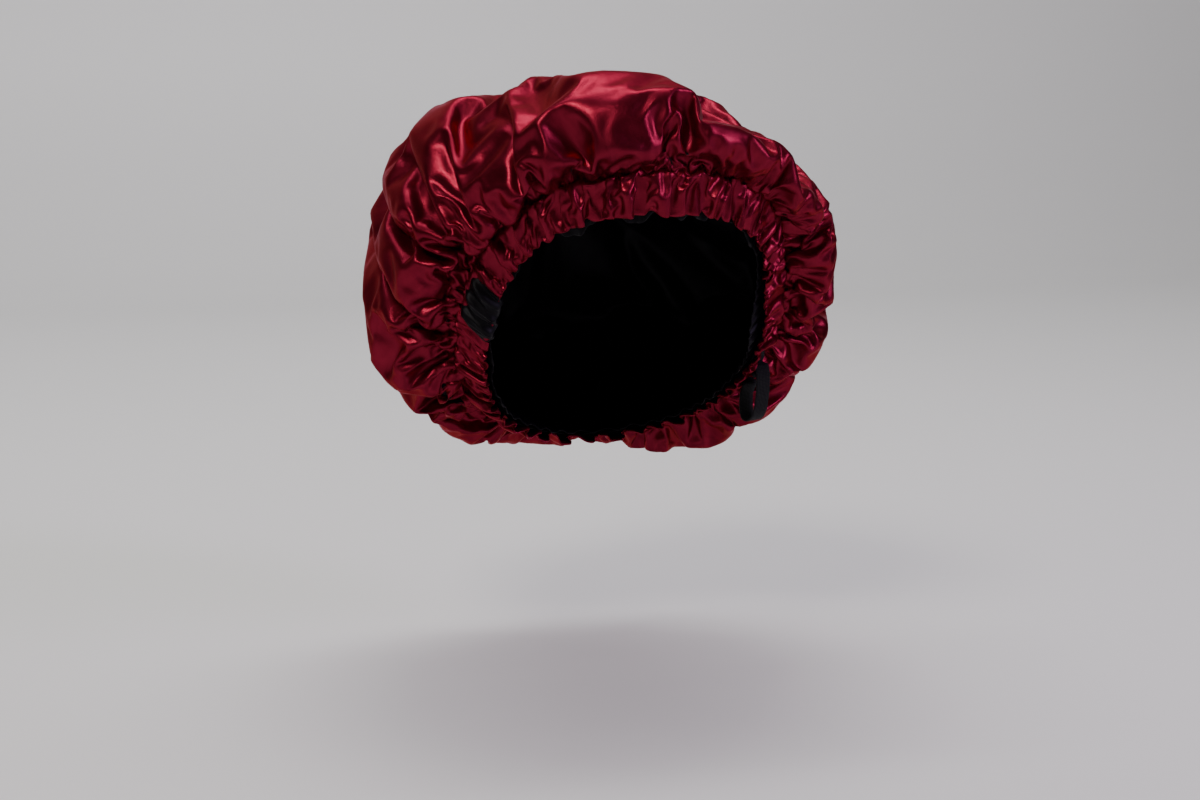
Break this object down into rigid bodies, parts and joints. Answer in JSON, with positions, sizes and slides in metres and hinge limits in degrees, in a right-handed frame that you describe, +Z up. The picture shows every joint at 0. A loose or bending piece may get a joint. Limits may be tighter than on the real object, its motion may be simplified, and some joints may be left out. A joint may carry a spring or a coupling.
{
  "type": "sleep bonnet",
  "caption": "Puffed satin sleep bonnet, a gathered double cap with a dark lining, drawn in by a flat elastic in a ruffled channel that hangs out of a slot as a small loop.",
  "frame": {"origin": "the point where the top of the wearer's head touches the lining", "axes": "+Z up, -Y the way the wearer faces, +X the wearer's left"},
  "size_m": [0.2605, 0.2525, 0.2149],
  "materials": {
    "satin": "burgundy polyester satin with a strong soft sheen",
    "lining": "black satin",
    "elastic": "matt black knitted flat elastic"
  },
  "bodies": {
    "root": {"crown": "satin", "elastic_channel": "satin", "lining": "lining", "elastic_strap": "elastic"}
  },
  "joints": []
}
